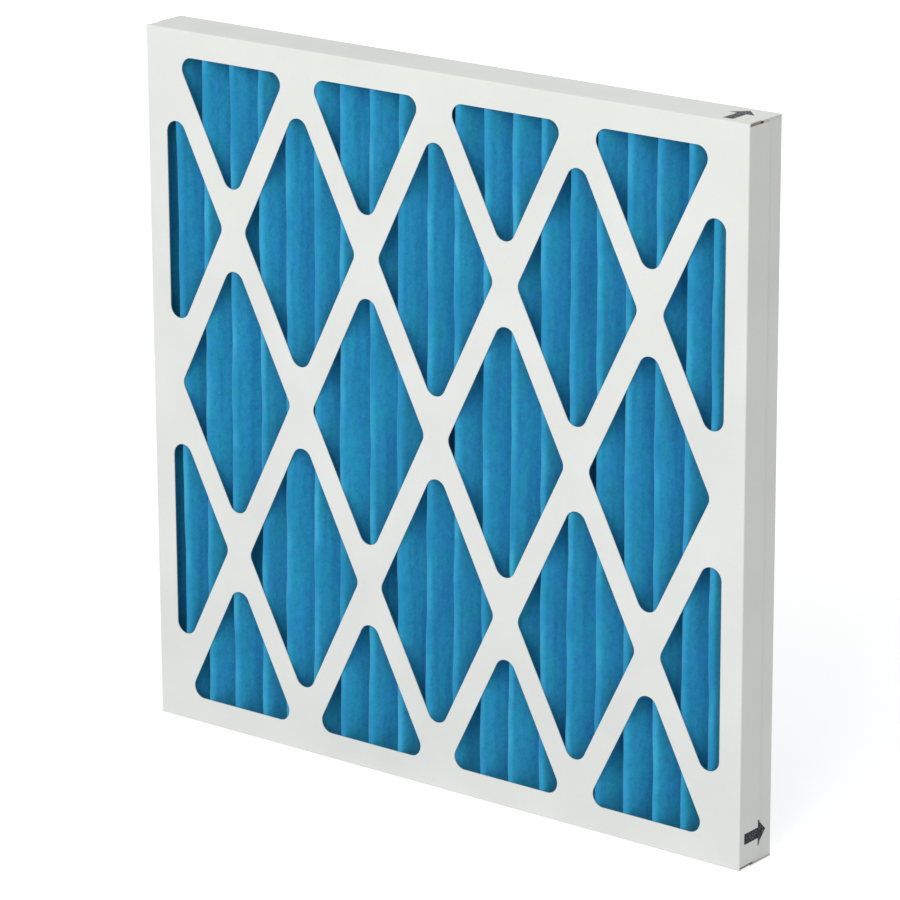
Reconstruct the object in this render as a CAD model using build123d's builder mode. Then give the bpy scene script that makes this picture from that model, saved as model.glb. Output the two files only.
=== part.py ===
"""Pleated panel air filter in a die-cut board frame.

Two folded board trays, each with a diamond lattice across its face, close over one pleated sheet of
nonwoven media. A welded wire grid follows the pleats on the rear side and holds their shape.

X runs across the pleats, Y through the filter from the front face to the rear face, and Z up along the
pleats. The origin is at the middle of the bottom edge. Sizes are in millimetres.
"""

import os
from math import asin, atan2, copysign, degrees, hypot, sin, tan

from build123d import *

# Overall size
width = 594.0
height = 594.0
depth = 44.0

# Board trays
board = 0.7  # thickness of the board
fold_radius = 1.0  # outside radius of a folded edge
side_overlap = 10.0  # band in which the front side flaps lie over the rear side flaps
edge_setback = 1.0  # from the rear face to the free edge of the front tray's top and bottom flaps
glue_line = 0.1  # gap between two glued boards
corner_slit = 2.0  # between an end of a front side flap and the flap that crosses it
free_corner = 3.0  # bevel on the free corners of the rear flaps and of all tabs
tab_length = 24.0  # from the corner to the tip of a glue tab
tab_setback = 5.0  # from the free edge of a rear flap to its tab
tab_gap = 1.0  # between a front tab and the free edge of the rear flap that lies in line with it

# Lattice across each face
side_border = 20.0  # of the board left at the two sides
end_border = 22.0  # at the top and the bottom
strap = 20.0
opening_radius = 10.0
cell_columns = 4
cell_rows = 2

# Pleated media
media_thickness = 2.2
nominal_pitch = 28.0  # from pleat to pleat
front_fold = 3.4  # outside radius of a front fold
rear_fold = 2.8  # outside radius of a rear fold
tip_clearance = 0.05  # between a pleat tip and the board that it is glued to
side_clearance = 0.2  # between the sheet's edge and the side flap
end_clearance = 0.1  # between the end of the pleats and the corner tabs

# Support grid
wire = 0.8  # side of a wire's section
cross_pitch = 115.0  # between the wires that follow the pleats
end_wire_inset = 12.0  # from the end of the pleats to the first of those wires
lines_per_flank = 2  # straight wires along each pleat flank

# Worked out from the sizes above
side_flap = (depth + side_overlap) / 2
crossing_flap = depth - edge_setback  # the front tray's top and bottom flaps
layer = board + glue_line  # how far each layer of board lies inside the one round it
rear_free_edge = depth / 2 - side_flap  # Y of the free edges of the rear tray's flaps
rear_width = width - 2 * layer
rear_height = height - 2 * layer
opening_width = width - 2 * side_border
opening_height = height - 2 * end_border
front_face = Plane.XZ.offset(depth / 2)
rear_face = Plane.XZ.offset(-depth / 2)


# ---------------------------------------------------------------- board trays
def lattice_openings(face):
    """The rounded openings between diagonal straps, whose centre lines cross at the cell corners."""
    half_column = opening_width / cell_columns / 2
    half_row = opening_height / cell_rows / 2
    diagonal = hypot(half_column, half_row)
    half_width = half_column - strap / 2 * diagonal / half_row
    half_height = half_row - strap / 2 * diagonal / half_column
    centres = [
        (column * half_column - opening_width / 2, end_border + row * half_row)
        for column in range(2 * cell_columns + 1)
        for row in range(2 * cell_rows + 1)
        if (column + row) % 2
    ]
    with BuildSketch(face) as openings:
        with Locations(*centres):
            Polygon((-half_width, 0), (0, -half_height), (half_width, 0), (0, half_height))
        with Locations((0, height / 2)):
            Rectangle(opening_width, opening_height, mode=Mode.INTERSECT)
        fillet(openings.vertices(), opening_radius)
    return openings.sketch


def tab_outline(root, tip, near, far):
    """Corners of a glue tab from its root to its bevelled tip, and from its near to its far edge."""
    bevel = copysign(free_corner, root - tip)
    return [
        (root, near),
        (tip + bevel, near),
        (tip, near + free_corner),
        (tip, far - free_corner),
        (tip + bevel, far),
        (root, far),
    ]


with BuildPart() as front_frame:
    with BuildSketch(front_face):
        with Locations((0, height / 2)):
            Rectangle(width, height)
    extrude(amount=-crossing_flap)
    fillet(front_frame.faces().sort_by(Axis.Y)[0].edges(), fold_radius)
    offset(amount=-board, openings=front_frame.faces().sort_by(Axis.Y)[-1])
    extrude(lattice_openings(front_face), amount=-2 * board, mode=Mode.SUBTRACT)
    # The side flaps are shallower, and stop short of the top and bottom flaps, which run the full
    # width of the tray.
    inner_height = height - 2 * board
    with BuildSketch(*(Plane.YZ.offset(x - board) for x in (-width / 2, width / 2))):
        with Locations((0, height / 2)):
            Rectangle(depth, inner_height)
        with Locations((side_flap / 2 - depth / 2, height / 2)):
            Rectangle(side_flap, inner_height - 2 * corner_slit, mode=Mode.SUBTRACT)
        with Locations((fold_radius / 2 - depth / 2, height / 2)):
            Rectangle(fold_radius, inner_height, mode=Mode.SUBTRACT)
    extrude(amount=2 * board, mode=Mode.SUBTRACT)
    # The top and bottom flaps turn at their ends as glue tabs behind the side flaps, in line with the
    # rear tray's side flaps.
    tab_front = 2 * fold_radius - depth / 2
    tab_rear = rear_free_edge - tab_gap
    for x in (layer + board / 2 - width / 2, width / 2 - layer - board / 2):
        tab_plane = Plane(origin=(x, 0, 0), x_dir=(0, 0, 1), z_dir=(-1, 0, 0))
        for root, tip in ((board / 2, tab_length), (height - board / 2, height - tab_length)):
            with BuildSketch(tab_plane):
                with BuildLine():
                    Polyline(*tab_outline(root, tip, tab_front, tab_rear), close=True)
                make_face()
            extrude(amount=board / 2, both=True)
    # Over the depth of the tabs those flaps stop at the tabs' rounded folds.
    corners = [(x, z) for x in (-width / 2, width / 2) for z in (0, height)]
    with BuildSketch(Plane.XZ.offset(-tab_rear)):
        with Locations(*corners):
            Rectangle(2 * (layer + fold_radius), 2 * (board + corner_slit))
        with Locations((0, height / 2)):
            RectangleRounded(width - 2 * layer, height, fold_radius, mode=Mode.SUBTRACT)
    extrude(amount=tab_rear - tab_front, mode=Mode.SUBTRACT)

with BuildPart() as rear_frame:
    with BuildSketch(rear_face):
        with Locations((0, height / 2)):
            Rectangle(rear_width, rear_height)
    extrude(amount=side_flap)
    fillet(rear_frame.faces().sort_by(Axis.Y)[-1].edges(), fold_radius)
    offset(amount=-board, openings=rear_frame.faces().sort_by(Axis.Y)[0])
    extrude(lattice_openings(rear_face), amount=2 * board, mode=Mode.SUBTRACT)
    # Each side flap stops under the flap that crosses its end.
    flap_insides = [layer + board, height - layer - board]
    slit_centres = [
        (x, rear_free_edge, z)
        for x in (-rear_width / 2, rear_width / 2)
        for z in (flap_insides[0] + glue_line / 2, flap_insides[1] - glue_line / 2)
    ]
    with Locations(*slit_centres):
        Box(
            2 * board,
            side_flap - fold_radius,
            glue_line,
            align=(Align.CENTER, Align.MIN, Align.CENTER),
            mode=Mode.SUBTRACT,
        )
    # The free corners are bevelled, so that this tray slides into the front one.
    free_edges = rear_frame.edges().group_by(Axis.Y)[0]
    chamfer(free_edges.filter_by(lambda edge: edge.length < 2 * board), free_corner)
    # The side flaps turn inwards at their ends as glue tabs on the crossing flaps.
    tab_front = rear_free_edge + tab_setback
    tab_rear = depth / 2 - 2 * fold_radius
    for tab_foot in (flap_insides[0] + glue_line, flap_insides[1] - glue_line - board):
        for side in (-1, 1):
            root = side * (rear_width / 2 - board / 2)
            tip = side * (rear_width / 2 - tab_length)
            with BuildSketch(Plane.XY.offset(tab_foot)):
                with BuildLine():
                    Polyline(*tab_outline(root, tip, tab_front, tab_rear), close=True)
                make_face()
            extrude(amount=board)

# ---------------------------------------------------------------- pleats
pack_width = rear_width - 2 * (board + side_clearance)
pack_height = rear_height - 2 * (board + glue_line + board + end_clearance)
pack_foot = (height - pack_height) / 2
pack_front = board + tip_clearance - depth / 2
pack_rear = depth / 2 - board - tip_clearance
pleats = round(pack_width / nominal_pitch)
pitch = pack_width / pleats

# The media's middle line has straight flanks between round folds. A flank is the inner tangent of two
# neighbouring fold circles, and leans from Y by flank_lean.
front_radius = front_fold - media_thickness / 2
rear_radius = rear_fold - media_thickness / 2
front_centre = pack_front + front_fold
rear_centre = pack_rear - wire - rear_fold
fold_travel = rear_centre - front_centre
flank_lean = atan2(pitch / 2, fold_travel) - asin(
    (front_radius + rear_radius) / hypot(pitch / 2, fold_travel)
)
# Where the flanks of the middle line would meet in sharp folds
front_corner = front_centre - front_radius / sin(flank_lean)
rear_corner = rear_centre + rear_radius / sin(flank_lean)


def fold_places():
    """X of each fold and whether it is a front one. The folds at the two side flaps are front ones, and
    one rear fold more lies outside each, so that a layer can be cut off at the flaps."""
    steps = range(-1, 2 * pleats + 2)
    return [(step * pitch / 2 - pack_width / 2, step % 2 == 0) for step in steps]


def folded_line(shift, front_level=None, rear_level=None):
    """The middle line shifted towards the rear, square to its flanks. Its folds are sharp, or cut off
    square at a level of Y."""
    points = []
    for x, front in fold_places():
        corner = (front_corner if front else rear_corner) + shift / sin(flank_lean)
        level = front_level if front else rear_level
        if level is None:
            points.append((x, corner))
        else:
            half = abs(level - corner) * tan(flank_lean)
            points += [(x - half, level), (x + half, level)]
    return points


with BuildPart() as pleated_media:
    with BuildSketch(Plane.XY.offset(pack_foot)) as media_section:
        # Outside, the folds are round. Inside, the creases are pressed flat.
        inside_front = pack_front + media_thickness
        inside_rear = pack_rear - wire - media_thickness
        with BuildLine():
            Polyline(
                *folded_line(-media_thickness / 2, rear_level=inside_rear),
                *reversed(folded_line(media_thickness / 2, front_level=inside_front)),
                close=True,
            )
        make_face()
        reach = (pack_width + pitch / 2) / 2  # takes in the folds at the side flaps and none beyond
        inner = media_section.vertices().filter_by_position(Axis.X, -reach, reach)
        fillet(inner.sort_by(Axis.Y)[: pleats + 1], front_fold)
        inner = media_section.vertices().filter_by_position(Axis.X, -reach, reach)
        fillet(inner.sort_by(Axis.Y)[-pleats:], rear_fold)
        Rectangle(pack_width, depth, mode=Mode.INTERSECT)
    extrude(amount=pack_height)

# ---------------------------------------------------------------- support grid
# Cross wires follow the pleats on the rear side of the media. Straight line wires run along the
# pleats and are welded to the rear of the cross wires.
near = media_thickness / 2
far = near + wire
front_level = pack_front + media_thickness
rear_level = pack_rear - wire
cross_wires = round((pack_height - 2 * end_wire_inset) / cross_pitch) + 1
cross_spacing = (pack_height - 2 * end_wire_inset) / (cross_wires - 1)

cross_solids = []
for number in range(cross_wires):
    foot = pack_foot + end_wire_inset + number * cross_spacing - wire / 2
    with BuildPart() as cross_wire:
        with BuildSketch(Plane.XY.offset(foot)):
            with BuildLine():
                Polyline(
                    *folded_line(near, front_level, rear_level),
                    *reversed(folded_line(far, front_level + wire, rear_level + wire)),
                    close=True,
                )
            make_face()
            Rectangle(pack_width, depth, mode=Mode.INTERSECT)
        extrude(amount=wire)
    cross_solids.append(cross_wire.solid())

line_rise = (far + wire / 2) / sin(flank_lean)
with BuildPart() as line_wires:
    for side in (-1, 1):
        line_centres = []
        for line in range(lines_per_flank):
            y = front_level + (line + 0.5) / lines_per_flank * (rear_level - front_level)
            from_fold = side * (y - front_corner - line_rise) * tan(flank_lean)
            line_centres += [(x + from_fold, y) for x, front in fold_places() if front]
        inside = [centre for centre in line_centres if abs(centre[0]) < pack_width / 2]
        with BuildSketch(Plane.XY.offset(pack_foot)):
            with Locations(*inside):
                Rectangle(wire, wire, rotation=-side * degrees(flank_lean))
        extrude(amount=pack_height)

front_frame.part.label = "front_frame"
rear_frame.part.label = "rear_frame"
pleated_media.part.label = "pleated_media"
# The wires stay separate solids, face to face at their welds.
support_grid = Compound(children=[*cross_solids, *line_wires.solids()], label="support_grid")

os.makedirs("parts", exist_ok=True)
export_step(front_frame.part, "parts/front_frame.step")
export_step(rear_frame.part, "parts/rear_frame.step")
export_step(pleated_media.part, "parts/pleated_media.step")
export_step(support_grid, "parts/support_grid.step")
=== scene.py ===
import math

import bpy
import numpy as np
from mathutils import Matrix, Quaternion, Vector


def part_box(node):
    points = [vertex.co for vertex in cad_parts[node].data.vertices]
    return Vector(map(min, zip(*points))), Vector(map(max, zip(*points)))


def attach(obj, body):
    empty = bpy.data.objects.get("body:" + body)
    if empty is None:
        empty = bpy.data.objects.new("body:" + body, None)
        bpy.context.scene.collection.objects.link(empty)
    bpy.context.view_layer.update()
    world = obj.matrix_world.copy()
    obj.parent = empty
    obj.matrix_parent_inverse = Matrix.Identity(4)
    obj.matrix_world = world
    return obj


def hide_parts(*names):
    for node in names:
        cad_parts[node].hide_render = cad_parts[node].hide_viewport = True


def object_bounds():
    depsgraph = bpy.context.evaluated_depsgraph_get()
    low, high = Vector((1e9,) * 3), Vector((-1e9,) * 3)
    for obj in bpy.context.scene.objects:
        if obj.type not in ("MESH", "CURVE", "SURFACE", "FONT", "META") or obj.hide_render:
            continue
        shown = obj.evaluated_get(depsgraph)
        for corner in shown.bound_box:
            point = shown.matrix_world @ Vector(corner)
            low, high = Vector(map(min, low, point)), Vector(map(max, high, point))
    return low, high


# Pleated panel air filter. Metres; X across the pleats, Y from the front face to the rear, Z up.

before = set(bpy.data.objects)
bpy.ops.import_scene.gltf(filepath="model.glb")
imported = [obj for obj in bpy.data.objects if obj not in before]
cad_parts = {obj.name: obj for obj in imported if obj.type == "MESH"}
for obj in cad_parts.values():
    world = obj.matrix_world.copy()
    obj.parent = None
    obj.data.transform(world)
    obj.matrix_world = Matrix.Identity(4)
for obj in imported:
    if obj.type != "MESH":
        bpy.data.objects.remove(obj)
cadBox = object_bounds()
trayLow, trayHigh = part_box("front_frame")
rearLow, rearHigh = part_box("rear_frame")
packLow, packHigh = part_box("pleated_media")
print("frame loaded")


class Nodes:
    # a short way to write the node tree of a material or a world
    def __init__(self, holder):
        self.holder = holder
        holder.use_nodes = True
        self.tree = holder.node_tree
        self.tree.nodes.clear()

    def add(self, kind, inputs=None, **settings):
        node = self.tree.nodes.new(kind)
        for key, value in settings.items():
            setattr(node, key, value)
        for key, value in (inputs or {}).items():
            if isinstance(value, bpy.types.NodeSocket):
                self.tree.links.new(value, node.inputs[key])
            else:
                node.inputs[key].default_value = value
        return node

    def math(self, operation, *values):
        node = self.add("ShaderNodeMath", dict(enumerate(values)), operation=operation)
        return node.outputs[0]

    def grain(self, vector, look):
        # the noise that a look's dictionary gives, stretched where the look says so
        if "stretch" in look:
            inputs = {"Vector": vector, "Scale": look["stretch"]}
            vector = self.add("ShaderNodeMapping", inputs).outputs[0]
        inputs = {"Vector": vector, "Scale": look["scale"], "Detail": look["detail"]}
        node = self.add("ShaderNodeTexNoise", {**inputs, "Roughness": look["rough"]})
        return node.outputs["Fac"]

    def spread(self, value, look):
        # carries the two levels of "from" to those of "to", and stays at those beyond them
        (low, high), (start, end) = look["from"], look.get("to", (0.0, 1.0))
        inputs = {"Value": value, "From Min": low, "From Max": high, "To Min": start, "To Max": end}
        return self.add("ShaderNodeMapRange", inputs).outputs[0]

    def weighed(self, first, second, share):
        # the first's share of a sum, with the second for the rest
        rest = self.math("MULTIPLY", second, 1 - share)
        return self.math("ADD", self.math("MULTIPLY", first, share), rest)

    def mix(self, factor, first, second):
        # a mix node's colour sockets are its inputs 6 and 7 and its output 2
        inputs = {0: factor, 6: first, 7: second}
        return self.add("ShaderNodeMix", inputs, data_type="RGBA").outputs[2]

    def finish(self, shader, output="ShaderNodeOutputMaterial"):
        self.add(output, {"Surface": shader})
        return self.holder


def linear(red, green, blue):
    # sRGB bytes to a linear colour
    parts = [c / 255 for c in (red, green, blue)]
    return (*(c / 12.92 if c <= 0.04045 else ((c + 0.055) / 1.055) ** 2.4 for c in parts), 1.0)


def shaded(colour, share):
    return (*(c * share for c in colour[:3]), 1.0)


def setMaterial(piece, material):
    piece.data.materials.clear()
    piece.data.materials.append(material)


def newPiece(name, vertices, faces, smooth=True):
    mesh = bpy.data.meshes.new(name)
    mesh.from_pydata(vertices.reshape(-1, 3).tolist(), [], faces)
    mesh.polygons.foreach_set("use_smooth", np.full(len(mesh.polygons), smooth))
    mesh.update()
    piece = bpy.data.objects.new(name, mesh)
    bpy.context.collection.objects.link(piece)
    return piece


def gridQuads(indices):
    # quads over a 2-D array of vertex numbers, whose normal is columns x rows
    corners = [indices[:-1, :-1], indices[:-1, 1:], indices[1:, 1:], indices[1:, :-1]]
    return np.stack(corners, axis=-1).reshape(-1, 4)


pleats = {
    "thickness": 0.0022,
    "frontFold": 0.0034,  # outside radius of a front fold
    "rearFold": 0.0028,
    "pitch": 0.028,
    "bow": (0.0050, -0.0018),  # sideways drift of the folds: one arch and one full wave over the width
    "lean": (0.0036, 0.0015),  # the same, growing towards the top and reversed at the bottom
    "scatter": 0.0011,  # each fold's own shift
    # A fold's wandering along its length, as three waves. Each has its size, its angle from the middle
    # to an end in radians, and how far the fold's own draws change that angle and the wave's start.
    "foldWaves": [(0.0008, 2.2, 1, 6), (0.0004, 17, 6, 9), (0.0002, 36, -8, 8)],
    "tipRecess": 0.0006,  # how far a fold may stand back from the board
    "bulge": 0.00036,  # each flank's own bow
    # how that bow changes with height, as three more waves, with their angles in radians per metre
    "flankWaves": [(0.00027, 9, 0, 6), (0.00027, 50, 12, 8), (0.000162, 96, 20, 9)],
    "rows": 100,
    "arcPoints": 7,
    "flankPoints": 4,
    "seed": 11,
}


def wander(waves, place, shift, phase, speed):
    # a sum of sines along a fold or a flank, whose lengths and starts follow three draws of its own
    draws = [(speed, phase), (speed, shift), (phase, speed)]
    total = 0
    for (size, turns, spread, start), (own, other) in zip(waves, draws):
        total = total + size * np.sin((turns + spread * own) * place + start * other)
    return total


def foldCentres(height):
    # Each fold's centre at each height. Its X is an even place, plus bow and lean, which are sines over
    # the width, plus its own scatter and wandering, which fade out at the two side walls. Its Y keeps
    # the fold's radius from the pack's face.
    halfWidth = packHigh.x
    count = 2 * round(2 * halfWidth / pleats["pitch"]) + 1
    across = np.linspace(0, 1, count)[None, :]
    up = ((height - packLow.z) / (packHigh.z - packLow.z) * 2 - 1)[:, None]
    arch, wave = np.sin(np.pi * across), np.sin(2 * np.pi * across)
    fade = np.clip(np.minimum(across, 1 - across) * count / 2, 0, 1)
    chance = np.random.default_rng(pleats["seed"])
    scatter, phase, speed, recess = chance.uniform(-1, 1, (4, count))
    recess = np.abs(recess)
    x = (across * 2 - 1) * halfWidth
    x = x + pleats["bow"][0] * arch + pleats["bow"][1] * wave
    x = x + up * (pleats["lean"][0] * arch + pleats["lean"][1] * wave)
    wandering = wander(pleats["foldWaves"], up, scatter, phase, speed)
    x = x + fade * (pleats["scatter"] * scatter + wandering)
    front = np.arange(count) % 2 == 0
    frontY = packLow.y + pleats["frontFold"] + pleats["tipRecess"] * recess * fade
    rearY = packHigh.y - pleats["rearFold"] - pleats["tipRecess"] * recess * fade
    y = np.where(front, frontY, rearY) + 0 * x
    radius = np.where(front, pleats["frontFold"], pleats["rearFold"]) - pleats["thickness"] / 2
    return x, y, radius, np.where(front, -1.0, 1.0)


def sheetLine(height):
    # The sheet's middle line at each height: straight flanks, which are inner tangents of neighbouring
    # fold circles, between round folds. Gives points, normals to the rear and how near a front tip is.
    x, y, radius, side = foldCentres(height)
    stepX, stepY = np.diff(x, axis=1), np.abs(np.diff(y, axis=1))
    reach = np.hypot(stepX, stepY)
    lean = np.arctan2(stepX, stepY) - np.arcsin((radius[1:] + radius[:-1]) / reach)
    wall = np.full((len(height), 1), np.pi / 2)
    start = np.concatenate([wall, lean], axis=1) - np.pi / 2
    end = np.pi / 2 - np.concatenate([lean, wall], axis=1)
    along = np.linspace(0, 1, pleats["arcPoints"])
    angle = start[..., None] + (end - start)[..., None] * along
    normal = np.stack([side[:, None] * np.sin(angle), np.cos(angle)], axis=-1)
    out = np.stack([np.sin(angle), side[:, None] * np.cos(angle)], axis=-1)
    centre = np.stack([x, y], axis=-1)[:, :, None, :]
    arcs = centre + radius[:, None, None] * out
    part = (np.arange(pleats["flankPoints"]) + 1) / (pleats["flankPoints"] + 1)
    first, last = arcs[:, :-1, -1:, :], arcs[:, 1:, :1, :]
    flanks = first + (last - first) * part[:, None]
    flankNormals = np.repeat(normal[:, :-1, -1:, :], len(part), axis=2)
    # A flank bows as a half sine between its folds, by an amount that wanders with height.
    chance = np.random.default_rng(pleats["seed"] + 1)
    size, phase, speed = chance.uniform(-1, 1, (3, 1, x.shape[1] - 1))
    wandering = wander(pleats["flankWaves"], height[:, None], size, phase, speed)
    amount = pleats["bulge"] * size + wandering
    flanks = flanks + (amount[..., None] * np.sin(np.pi * part))[..., None] * flankNormals

    def joined(onArcs, onFlanks):
        body = np.concatenate([onArcs[:, :-1], onFlanks], axis=2)
        body = body.reshape(len(height), -1, *onArcs.shape[3:])
        return np.concatenate([body, onArcs[:, -1]], axis=1)

    tip = np.where(side[:, None] < 0, np.cos(angle), 0.0)
    crest = joined(tip, np.zeros(flanks.shape[:3]))
    return joined(arcs, flanks), joined(normal, flankNormals), crest


def atHeight(points, height):
    # puts points of the plan at their heights
    z = np.broadcast_to(height[:, None, None], (*points.shape[:2], 1))
    return np.concatenate([points, z], axis=-1)


def makeSheet():
    height = np.linspace(packLow.z, packHigh.z, pleats["rows"])
    line, normal, crest = sheetLine(height)
    half = pleats["thickness"] / 2
    vertices = np.stack([atHeight(line - half * normal, height), atHeight(line + half * normal, height)])
    number = np.arange(vertices.size // 3).reshape(vertices.shape[:3])
    front, rear = number
    faces = np.concatenate(
        [
            gridQuads(front),
            gridQuads(rear[:, ::-1]),
            gridQuads(np.stack([rear[:, 0], front[:, 0]], axis=1)),
            gridQuads(np.stack([front[:, -1], rear[:, -1]], axis=1)),
            gridQuads(np.stack([rear[0], front[0]])),
            gridQuads(np.stack([front[-1], rear[-1]])),
        ]
    )
    sheet = newPiece("pleatedSheet", vertices, faces.tolist())
    step = np.linalg.norm(np.diff(line, axis=1), axis=-1)
    run = np.concatenate([np.zeros((len(height), 1)), np.cumsum(step, axis=1)], axis=1)
    flat = np.stack([run, np.broadcast_to(height[:, None], run.shape)], axis=-1)
    flat = np.stack([flat, flat]).reshape(-1, 2)
    corner = np.empty(len(sheet.data.loops), dtype=np.int32)
    sheet.data.loops.foreach_get("vertex_index", corner)
    sheet.data.uv_layers.new(name="flatSheet").data.foreach_set("uv", flat[corner].ravel())
    # how near a front fold tip each point is, where the material paints a highlight and darker shading
    tipHighlight = sheet.data.attributes.new("crest", "FLOAT", "POINT")
    tipHighlight.data.foreach_set("value", np.stack([crest, 0 * crest]).ravel())
    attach(sheet, "root")
    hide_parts("pleated_media")
    return sheet


pleatedSheet = makeSheet()


wires = {
    "thickness": 0.0008,
    "crossWires": 6,
    "endInset": 0.012,  # from the end of the pleats to the first cross wire
    "flankParts": (0.25, 0.75),  # where line wires lie on each flank, from its front fold
    "sides": 6,
    "lineRows": 40,
}


def tubes(points, normal, binormal, radius):
    # Round wires: at each point of each path a ring of cosine times the normal plus sine times the
    # binormal, with its ends closed.
    turn = np.arange(wires["sides"]) / wires["sides"] * 2 * np.pi
    ring = np.cos(turn)[:, None] * normal[..., None, :] + np.sin(turn)[:, None] * binormal[..., None, :]
    vertices = points[..., None, :] + radius * ring
    number = np.arange(vertices.size // 3).reshape(vertices.shape[:3])
    closed = np.concatenate([number, number[..., :1]], axis=2)
    low, high = closed[:, :-1], closed[:, 1:]
    quads = np.stack([low[..., :-1], low[..., 1:], high[..., 1:], high[..., :-1]], axis=-1)
    caps = [*number[:, 0, ::-1].tolist(), *number[:, -1].tolist()]
    return vertices.reshape(-1, 3), [*quads.reshape(-1, 4).tolist(), *caps]


def makeGrid():
    radius = wires["thickness"] / 2
    behind = pleats["thickness"] / 2 + radius
    inset = wires["endInset"]
    height = np.linspace(packLow.z + inset, packHigh.z - inset, wires["crossWires"])
    line, normal, _ = sheetLine(height)
    path = atHeight(line + behind * normal, height)
    flatNormal = atHeight(normal, 0 * height)
    upward = np.broadcast_to([0.0, 0.0, 1.0], flatNormal.shape)
    crossVertices, crossFaces = tubes(path, upward, flatNormal, radius)

    height = np.linspace(packLow.z, packHigh.z, wires["lineRows"])
    line, normal, _ = sheetLine(height)
    perFold = pleats["arcPoints"] + pleats["flankPoints"]
    folds = (line.shape[1] - pleats["arcPoints"]) // perFold
    first = pleats["arcPoints"] - 1 + perFold * np.arange(folds)
    last = first + pleats["flankPoints"] + 1
    fromFront = np.where(np.arange(folds) % 2 == 0, 1, -1)
    paths, sides = [], []
    for part in wires["flankParts"]:
        place = np.where(fromFront > 0, part, 1 - part)[None, :, None]
        spot = line[:, first] * (1 - place) + line[:, last] * place
        facing = normal[:, first]
        paths.append(atHeight(spot + (behind + 2 * radius) * facing, height).swapaxes(0, 1))
        sides.append(atHeight(facing, 0 * height).swapaxes(0, 1))
    path, flatNormal = np.concatenate(paths), np.concatenate(sides)
    sideways = np.cross([0.0, 0.0, 1.0], flatNormal)
    lineVertices, lineFaces = tubes(path, flatNormal, sideways, radius)
    offset = len(crossVertices)
    faces = crossFaces + [[v + offset for v in face] for face in lineFaces]
    grid = newPiece("wireGrid", np.concatenate([crossVertices, lineVertices]), faces)
    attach(grid, "root")
    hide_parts("support_grid")
    print("wire grid made")
    return grid


wireGrid = makeGrid()


board = {
    "coat": linear(236, 238, 234),
    "core": linear(216, 210, 198),  # at cut edges
    # the uncoated inner side's grey-brown, made darker as painted shade for the recesses behind the
    # slits where it shows
    "back": linear(164, 156, 140),  # uncoated inner side
    "ink": linear(22, 24, 36),
    "foldRadius": 0.001,
    "coatDepth": 0.00012,  # the white layer on the outer side
    "backDepth": 0.00069,  # just short of the board's thickness
    "darkest": 0.93,  # of the coat, in its faint clouds
    "shade": {"pulp": 0.35, "from": (0.35, 0.65)},  # the pulp's share in those clouds, and their levels
    "coatRough": 0.6,
    "coreRough": 0.3,  # added to it at the core and back
    "cloudRough": 0.12,  # and by the clouds
    "specular": 0.12,
    "bump": {"Strength": 0.12, "Distance": 0.0006},
    "bumpPulp": 0.4,  # the pulp's share in the bump
    "pulp": {"scale": 900.0, "detail": 3.0, "rough": 0.6},
    "cloud": {"scale": 14.0, "detail": 2.0, "rough": 0.5},
    "fibre": {"scale": 260.0, "detail": 4.0, "rough": 0.65, "stretch": (1.0, 1.0, 6.0)},
    "dark": {"from": (0.3, 0.7), "to": (0.0, 0.15)},  # how much ink tints the fibres of the core
}

arrow = {
    "along": 0.0245,  # from the wall's end to the arrow's middle line
    "depth": 0.0215,  # from the front face to its middle
    "length": 0.030,
    "shaft": 0.0045,  # half of the shaft's width
    "head": 0.0115,  # the head's length, and half of its width
    "wallDepth": 0.002,  # how near the tray's outside a printed wall is
    "speckle": {"scale": 2200.0, "detail": 2.0, "rough": 0.6},
    "unprinted": 0.36,  # the speckle's level under which the ink is missing
}


def arrowMask(nodes, along, depth):
    # 1 inside an arrow that points along the air's way, towards the rear: a shaft, then a head that
    # narrows to its tip
    off = nodes.math("ABSOLUTE", nodes.math("SUBTRACT", along, arrow["along"]))
    tail = arrow["depth"] - arrow["length"] / 2
    tip = arrow["depth"] + arrow["length"] / 2
    neck = tip - arrow["head"]
    pastTail, beforeNeck = nodes.math("GREATER_THAN", depth, tail), nodes.math("LESS_THAN", depth, neck)
    inShaft = nodes.math("MULTIPLY", pastTail, beforeNeck)
    inShaft = nodes.math("MULTIPLY", inShaft, nodes.math("LESS_THAN", off, arrow["shaft"]))
    inHead = nodes.math("GREATER_THAN", depth, neck)
    narrowing = nodes.math("LESS_THAN", off, nodes.math("SUBTRACT", tip, depth))
    return nodes.math("MAXIMUM", inShaft, nodes.math("MULTIPLY", inHead, narrowing))


def depthUnder(nodes, fromFace, fromWall):
    # How deep a point lies in the board. The folds round the face are rounded, so there it is the
    # fold's radius less the distance from the fold's centre line.
    fold = board["foldRadius"]
    intoFace = nodes.math("MAXIMUM", nodes.math("SUBTRACT", fold, fromFace), 0.0)
    intoWall = nodes.math("MAXIMUM", nodes.math("SUBTRACT", fold, fromWall), 0.0)
    squares = nodes.math("ADD", nodes.math("POWER", intoFace, 2.0), nodes.math("POWER", intoWall, 2.0))
    return nodes.math("SUBTRACT", fold, nodes.math("SQRT", squares))


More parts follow.
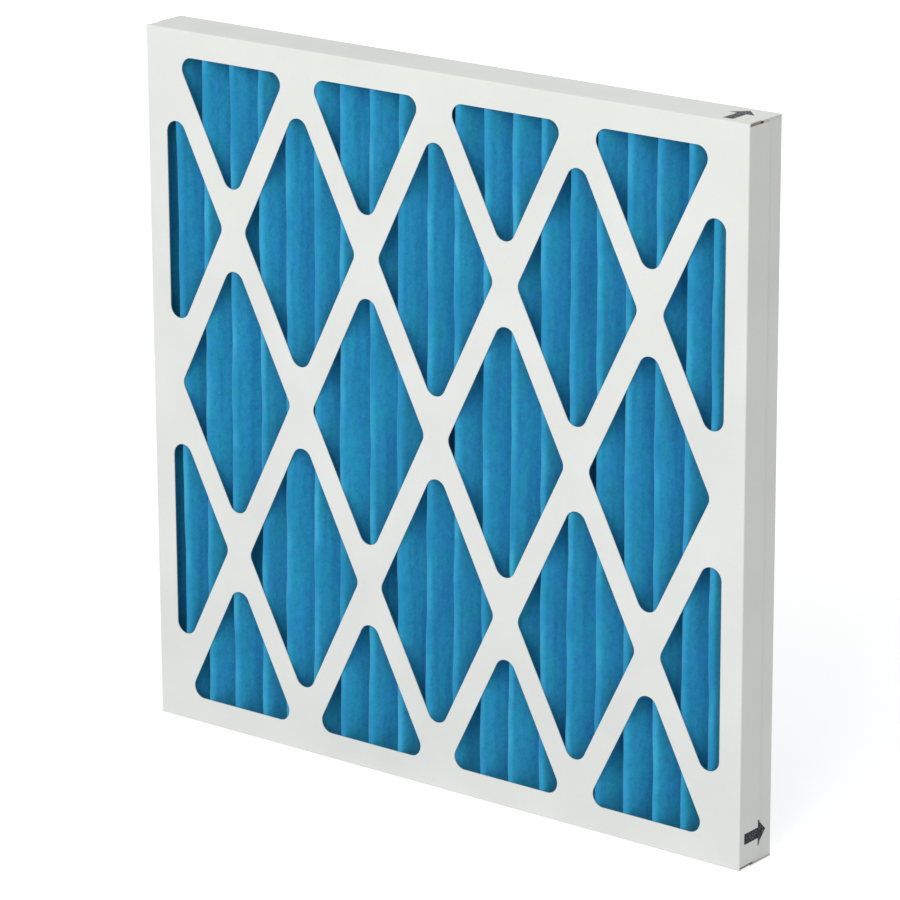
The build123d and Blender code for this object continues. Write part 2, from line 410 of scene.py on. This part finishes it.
def boardMaterial(name, low, high, outerY):
    # Coated board: white on the tray's outer side, with an off-white core and a grey-brown back, whose
    # grey-brown is made darker as painted shade for the recesses where it shows. How deep a point lies
    # under the tray's box tells them apart.
    nodes = Nodes(bpy.data.materials.new(name))
    place = nodes.add("ShaderNodeTexCoord").outputs["Object"]
    x, y, z = nodes.add("ShaderNodeSeparateXYZ", {"Vector": place}).outputs
    fromFace = nodes.math("ABSOLUTE", nodes.math("SUBTRACT", y, outerY))
    fromSide = nodes.math("SUBTRACT", high.x, nodes.math("ABSOLUTE", x))
    fromRight, fromLeft = nodes.math("SUBTRACT", high.x, x), nodes.math("ADD", high.x, x)
    fromBottom, fromTop = nodes.math("SUBTRACT", z, low.z), nodes.math("SUBTRACT", high.z, z)
    fromWall = nodes.math("MINIMUM", fromSide, nodes.math("MINIMUM", fromBottom, fromTop))
    under = depthUnder(nodes, fromFace, fromWall)
    isCore = nodes.math("GREATER_THAN", under, board["coatDepth"])
    isBack = nodes.math("GREATER_THAN", under, board["backDepth"])

    pulp, cloud = nodes.grain(place, board["pulp"]), nodes.grain(place, board["cloud"])
    shade = nodes.spread(nodes.weighed(pulp, cloud, board["shade"]["pulp"]), board["shade"])
    coat = nodes.mix(shade, shaded(board["coat"], board["darkest"]), board["coat"])
    fibres = nodes.spread(nodes.grain(place, board["fibre"]), board["dark"])
    # the back's darker grey-brown is partly painted shade for the recesses behind the slits
    core = nodes.mix(fibres, nodes.mix(isBack, board["core"], board["back"]), board["ink"])

    # The arrow stands near the clockwise end of each wall, seen from the front.
    depth = nodes.math("SUBTRACT", y, trayLow.y)
    walls = [
        (fromRight, nodes.math("SUBTRACT", z, trayLow.z)),
        (fromTop, nodes.math("SUBTRACT", trayHigh.x, x)),
        (fromLeft, nodes.math("SUBTRACT", trayHigh.z, z)),
        (fromBottom, nodes.math("ADD", x, trayHigh.x)),
    ]
    marks = []
    for distance, along in walls:
        onWall = nodes.math("LESS_THAN", distance, arrow["wallDepth"])
        marks.append(nodes.math("MULTIPLY", onWall, arrowMask(nodes, along, depth)))
    upright, level = nodes.math("MAXIMUM", marks[0], marks[2]), nodes.math("MAXIMUM", marks[1], marks[3])
    inked = nodes.math("GREATER_THAN", nodes.grain(place, arrow["speckle"]), arrow["unprinted"])
    mark = nodes.math("MULTIPLY", nodes.math("MAXIMUM", upright, level), inked)
    colour = nodes.mix(isCore, nodes.mix(mark, coat, board["ink"]), core)

    rough = nodes.math("ADD", board["coatRough"], nodes.math("MULTIPLY", isCore, board["coreRough"]))
    cloudy = nodes.math("MULTIPLY", nodes.math("SUBTRACT", cloud, 0.5), board["cloudRough"])
    rough = nodes.math("ADD", rough, cloudy)
    height = nodes.weighed(pulp, cloud, board["bumpPulp"])
    bump = nodes.add("ShaderNodeBump", {"Height": height, **board["bump"]})
    shader = nodes.add(
        "ShaderNodeBsdfPrincipled",
        {
            "Base Color": colour,
            "Roughness": rough,
            "Normal": bump.outputs[0],
            "Specular IOR Level": board["specular"],
        },
    )
    return nodes.finish(shader.outputs[0])


media = {
    "blue": linear(46, 175, 227),
    "teal": linear(36, 182, 213),
    "deep": linear(21, 134, 187),
    "pale": linear(94, 194, 228),
    # noises on the flat sheet: clouds, streaks along the folds, blotches, tufts and single fibres
    "cloud": {"scale": 70.0, "detail": 3.0, "rough": 0.6, "stretch": (1.0, 0.5, 1.0)},
    "streak": {"scale": 130.0, "detail": 2.0, "rough": 0.5, "stretch": (1.0, 0.08, 1.0)},
    "blotch": {"scale": 190.0, "detail": 3.0, "rough": 0.6, "stretch": (1.0, 0.7, 1.0)},
    "tuft": {"scale": 420.0, "detail": 4.0, "rough": 0.7},
    "fibre": {"scale": 1500.0, "detail": 3.0, "rough": 0.7, "stretch": (1.0, 0.35, 1.0)},
    "patch": {"scale": 16.0, "detail": 2.0, "rough": 0.5},
    # how much each of them shows: blue over teal, deep blue in streaks and blotches, pale tufts
    "blueShare": {"from": (0.38, 0.62)},
    "streakShare": {"from": (0.45, 0.7), "to": (0.0, 0.55)},
    "blotchShare": {"from": (0.42, 0.68), "to": (0.0, 0.5)},
    "tuftShare": {"from": (0.45, 0.75), "to": (0.0, 0.45)},
    # along the fold tips, patch by patch: a pale line that is a painted highlight, and a wider band
    # painted darker, partly for fibres pressed in the fold and partly as painted shade over the lit tips
    "tipHighlight": {"from": (0.45, 0.65), "to": (0.0, 0.4), "narrow": 8.0},
    "pressed": {"from": (0.35, 0.65), "to": (0.9, 0.3)},
    "bump": {"Strength": 0.5, "Distance": 0.0005},
    "bumpTuft": 0.6,  # the tufts' share in the bump, beside the fibres
    "surface": {
        "Roughness": 0.85,
        "Specular IOR Level": 0.25,
        "Sheen Weight": 0.25,
        "Sheen Roughness": 0.5,
        "Sheen Tint": (0.6, 0.85, 1.0, 1.0),
    },
}


def mediaMaterial():
    # Bonded fibres, laid out on the flat sheet's own coordinates, with a painted highlight and a darker
    # band along the fold tips.
    nodes = Nodes(bpy.data.materials.new("blueNonwoven"))
    flat = nodes.add("ShaderNodeUVMap", uv_map="flatSheet").outputs[0]
    names = ("cloud", "streak", "blotch", "tuft", "fibre", "patch")
    cloud, streak, blotch, tuft, fibre, patch = (nodes.grain(flat, media[name]) for name in names)
    colour = nodes.mix(nodes.spread(cloud, media["blueShare"]), media["teal"], media["blue"])
    colour = nodes.mix(nodes.spread(streak, media["streakShare"]), colour, media["deep"])
    colour = nodes.mix(nodes.spread(blotch, media["blotchShare"]), colour, media["deep"])
    colour = nodes.mix(nodes.spread(tuft, media["tuftShare"]), colour, media["pale"])
    crest = nodes.add("ShaderNodeAttribute", attribute_name="crest").outputs["Fac"]
    tipLine = nodes.math("POWER", crest, media["tipHighlight"]["narrow"])
    # a pale line on the fold tips, patch by patch: a painted highlight
    tipHighlight = nodes.math("MULTIPLY", tipLine, nodes.spread(patch, media["tipHighlight"]))
    colour = nodes.mix(tipHighlight, colour, media["pale"])
    # a wider band on the fold tips painted darker: partly fibres pressed in the fold, partly painted
    # shade that tones down the lit tips
    pressed = nodes.math("MULTIPLY", crest, nodes.spread(patch, media["pressed"]))
    colour = nodes.mix(pressed, colour, media["deep"])
    height = nodes.weighed(tuft, fibre, media["bumpTuft"])
    bump = nodes.add("ShaderNodeBump", {"Height": height, **media["bump"]})
    inputs = {"Base Color": colour, "Normal": bump.outputs[0], **media["surface"]}
    return nodes.finish(nodes.add("ShaderNodeBsdfPrincipled", inputs).outputs[0])


zinc = {
    "dull": linear(150, 153, 156),
    "bright": linear(196, 199, 202),
    "bloom": {"scale": 220.0, "detail": 3.0, "rough": 0.6},
    "brightShare": {"from": (0.35, 0.65)},
    "roughness": {"from": (0.3, 0.7), "to": (0.32, 0.55)},
    "bump": {"Strength": 0.2, "Distance": 0.0001},
}


def wireMaterial():
    # galvanised steel: grey zinc with a patchy bloom
    nodes = Nodes(bpy.data.materials.new("galvanisedWire"))
    place = nodes.add("ShaderNodeTexCoord").outputs["Object"]
    bloom = nodes.grain(place, zinc["bloom"])
    colour = nodes.mix(nodes.spread(bloom, zinc["brightShare"]), zinc["dull"], zinc["bright"])
    rough = nodes.spread(bloom, zinc["roughness"])
    bump = nodes.add("ShaderNodeBump", {"Height": bloom, **zinc["bump"]})
    inputs = {"Base Color": colour, "Metallic": 1.0, "Roughness": rough, "Normal": bump.outputs[0]}
    return nodes.finish(nodes.add("ShaderNodeBsdfPrincipled", inputs).outputs[0])


setMaterial(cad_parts["front_frame"], boardMaterial("frontBoard", trayLow, trayHigh, trayLow.y))
setMaterial(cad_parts["rear_frame"], boardMaterial("rearBoard", rearLow, rearHigh, rearHigh.y))
setMaterial(pleatedSheet, mediaMaterial())
setMaterial(wireGrid, wireMaterial())
print("materials made")


studio = {
    "floorSize": 14.0,
    "floor": linear(236, 236, 236),
    "floorGlow": 0.48,  # added where the floor is seen, so that it ends in white, and lights nothing
    "world": 0.5,
    "whiteOut": (1.0, 1.0, 1.0, 1.0),  # what the camera sees past the floor
    # square lamps, with their side and their power in watts
    "key": {"place": (0.6, -3.4, 2.5), "size": 2.6, "power": 80.0},
    "fill": {"place": (-3.0, -2.6, 1.4), "size": 2.4, "power": 4.0},
    "back": {"place": (-1.0, 3.3, 1.3), "size": 2.2, "power": 34.0},
}


def makeFloor():
    half = studio["floorSize"] / 2
    corners = np.array([[-half, -half, 0], [half, -half, 0], [half, half, 0], [-half, half, 0]])
    floor = newPiece("floor", corners + [0, 0, cadBox[0].z], [[0, 1, 2, 3]], smooth=False)
    nodes = Nodes(bpy.data.materials.new("paleFloor"))
    plain = nodes.add("ShaderNodeBsdfDiffuse", {"Color": studio["floor"]}).outputs[0]
    glow = nodes.add("ShaderNodeEmission", {"Strength": studio["floorGlow"]}).outputs[0]
    lit = nodes.add("ShaderNodeAddShader", {0: plain, 1: glow}).outputs[0]
    ray = nodes.add("ShaderNodeLightPath").outputs
    seen = nodes.math("MAXIMUM", ray["Is Camera Ray"], ray["Is Glossy Ray"])
    seen = nodes.math("MAXIMUM", seen, ray["Is Transmission Ray"])
    shader = nodes.add("ShaderNodeMixShader", {0: seen, 1: plain, 2: lit}).outputs[0]
    setMaterial(floor, nodes.finish(shader))


def makeWorld():
    nodes = Nodes(bpy.data.worlds.new("softWorld"))
    ray = nodes.add("ShaderNodeLightPath").outputs
    seen = nodes.math("MAXIMUM", ray["Is Camera Ray"], ray["Is Glossy Ray"])
    soft = nodes.add("ShaderNodeBackground", {"Color": studio["whiteOut"], "Strength": studio["world"]})
    white = nodes.add("ShaderNodeBackground", {"Color": studio["whiteOut"], "Strength": 1.0})
    mixed = nodes.add("ShaderNodeMixShader", {0: seen, 1: soft.outputs[0], 2: white.outputs[0]})
    bpy.context.scene.world = nodes.finish(mixed.outputs[0], "ShaderNodeOutputWorld")


def makeLamp(name):
    lamp = bpy.data.lights.new(name, "AREA")
    lamp.size = studio[name]["size"]
    lamp.energy = studio[name]["power"]
    holder = bpy.data.objects.new(name, lamp)
    bpy.context.collection.objects.link(holder)
    holder.location = studio[name]["place"]
    holder.visible_camera = False
    middle = Vector((0, 0, trayHigh.z / 2))
    holder.rotation_mode = "QUATERNION"
    holder.rotation_quaternion = (middle - holder.location).to_track_quat("-Z", "Y")


camera = {
    # angles in degrees, the lens in millimetres
    "azimuth": 38.01,
    "elevation": 17.07,
    "roll": -0.26,
    "distance": 3.768,
    "lens": 189.8,
    "aim": (0.0106, -0.0172, 0.2879),
    "clip": (0.05, 60),
}


def makeCamera():
    view = bpy.data.cameras.new("camera")
    view.lens = camera["lens"]
    view.clip_start, view.clip_end = camera["clip"]
    holder = bpy.data.objects.new("camera", view)
    bpy.context.collection.objects.link(holder)
    around, up, roll = (math.radians(camera[name]) for name in ("azimuth", "elevation", "roll"))
    back = Vector((math.sin(around) * math.cos(up), -math.cos(around) * math.cos(up), math.sin(up)))
    holder.location = Vector(camera["aim"]) + back * camera["distance"]
    level = (-back).to_track_quat("-Z", "Y")
    holder.rotation_mode = "QUATERNION"
    holder.rotation_quaternion = level @ Quaternion((0, 0, 1), roll)
    bpy.context.scene.camera = holder


makeFloor()
makeWorld()
for lampName in ("key", "fill", "back"):
    makeLamp(lampName)
makeCamera()
bpy.context.scene.view_settings.view_transform = "Standard"
print("studio set")
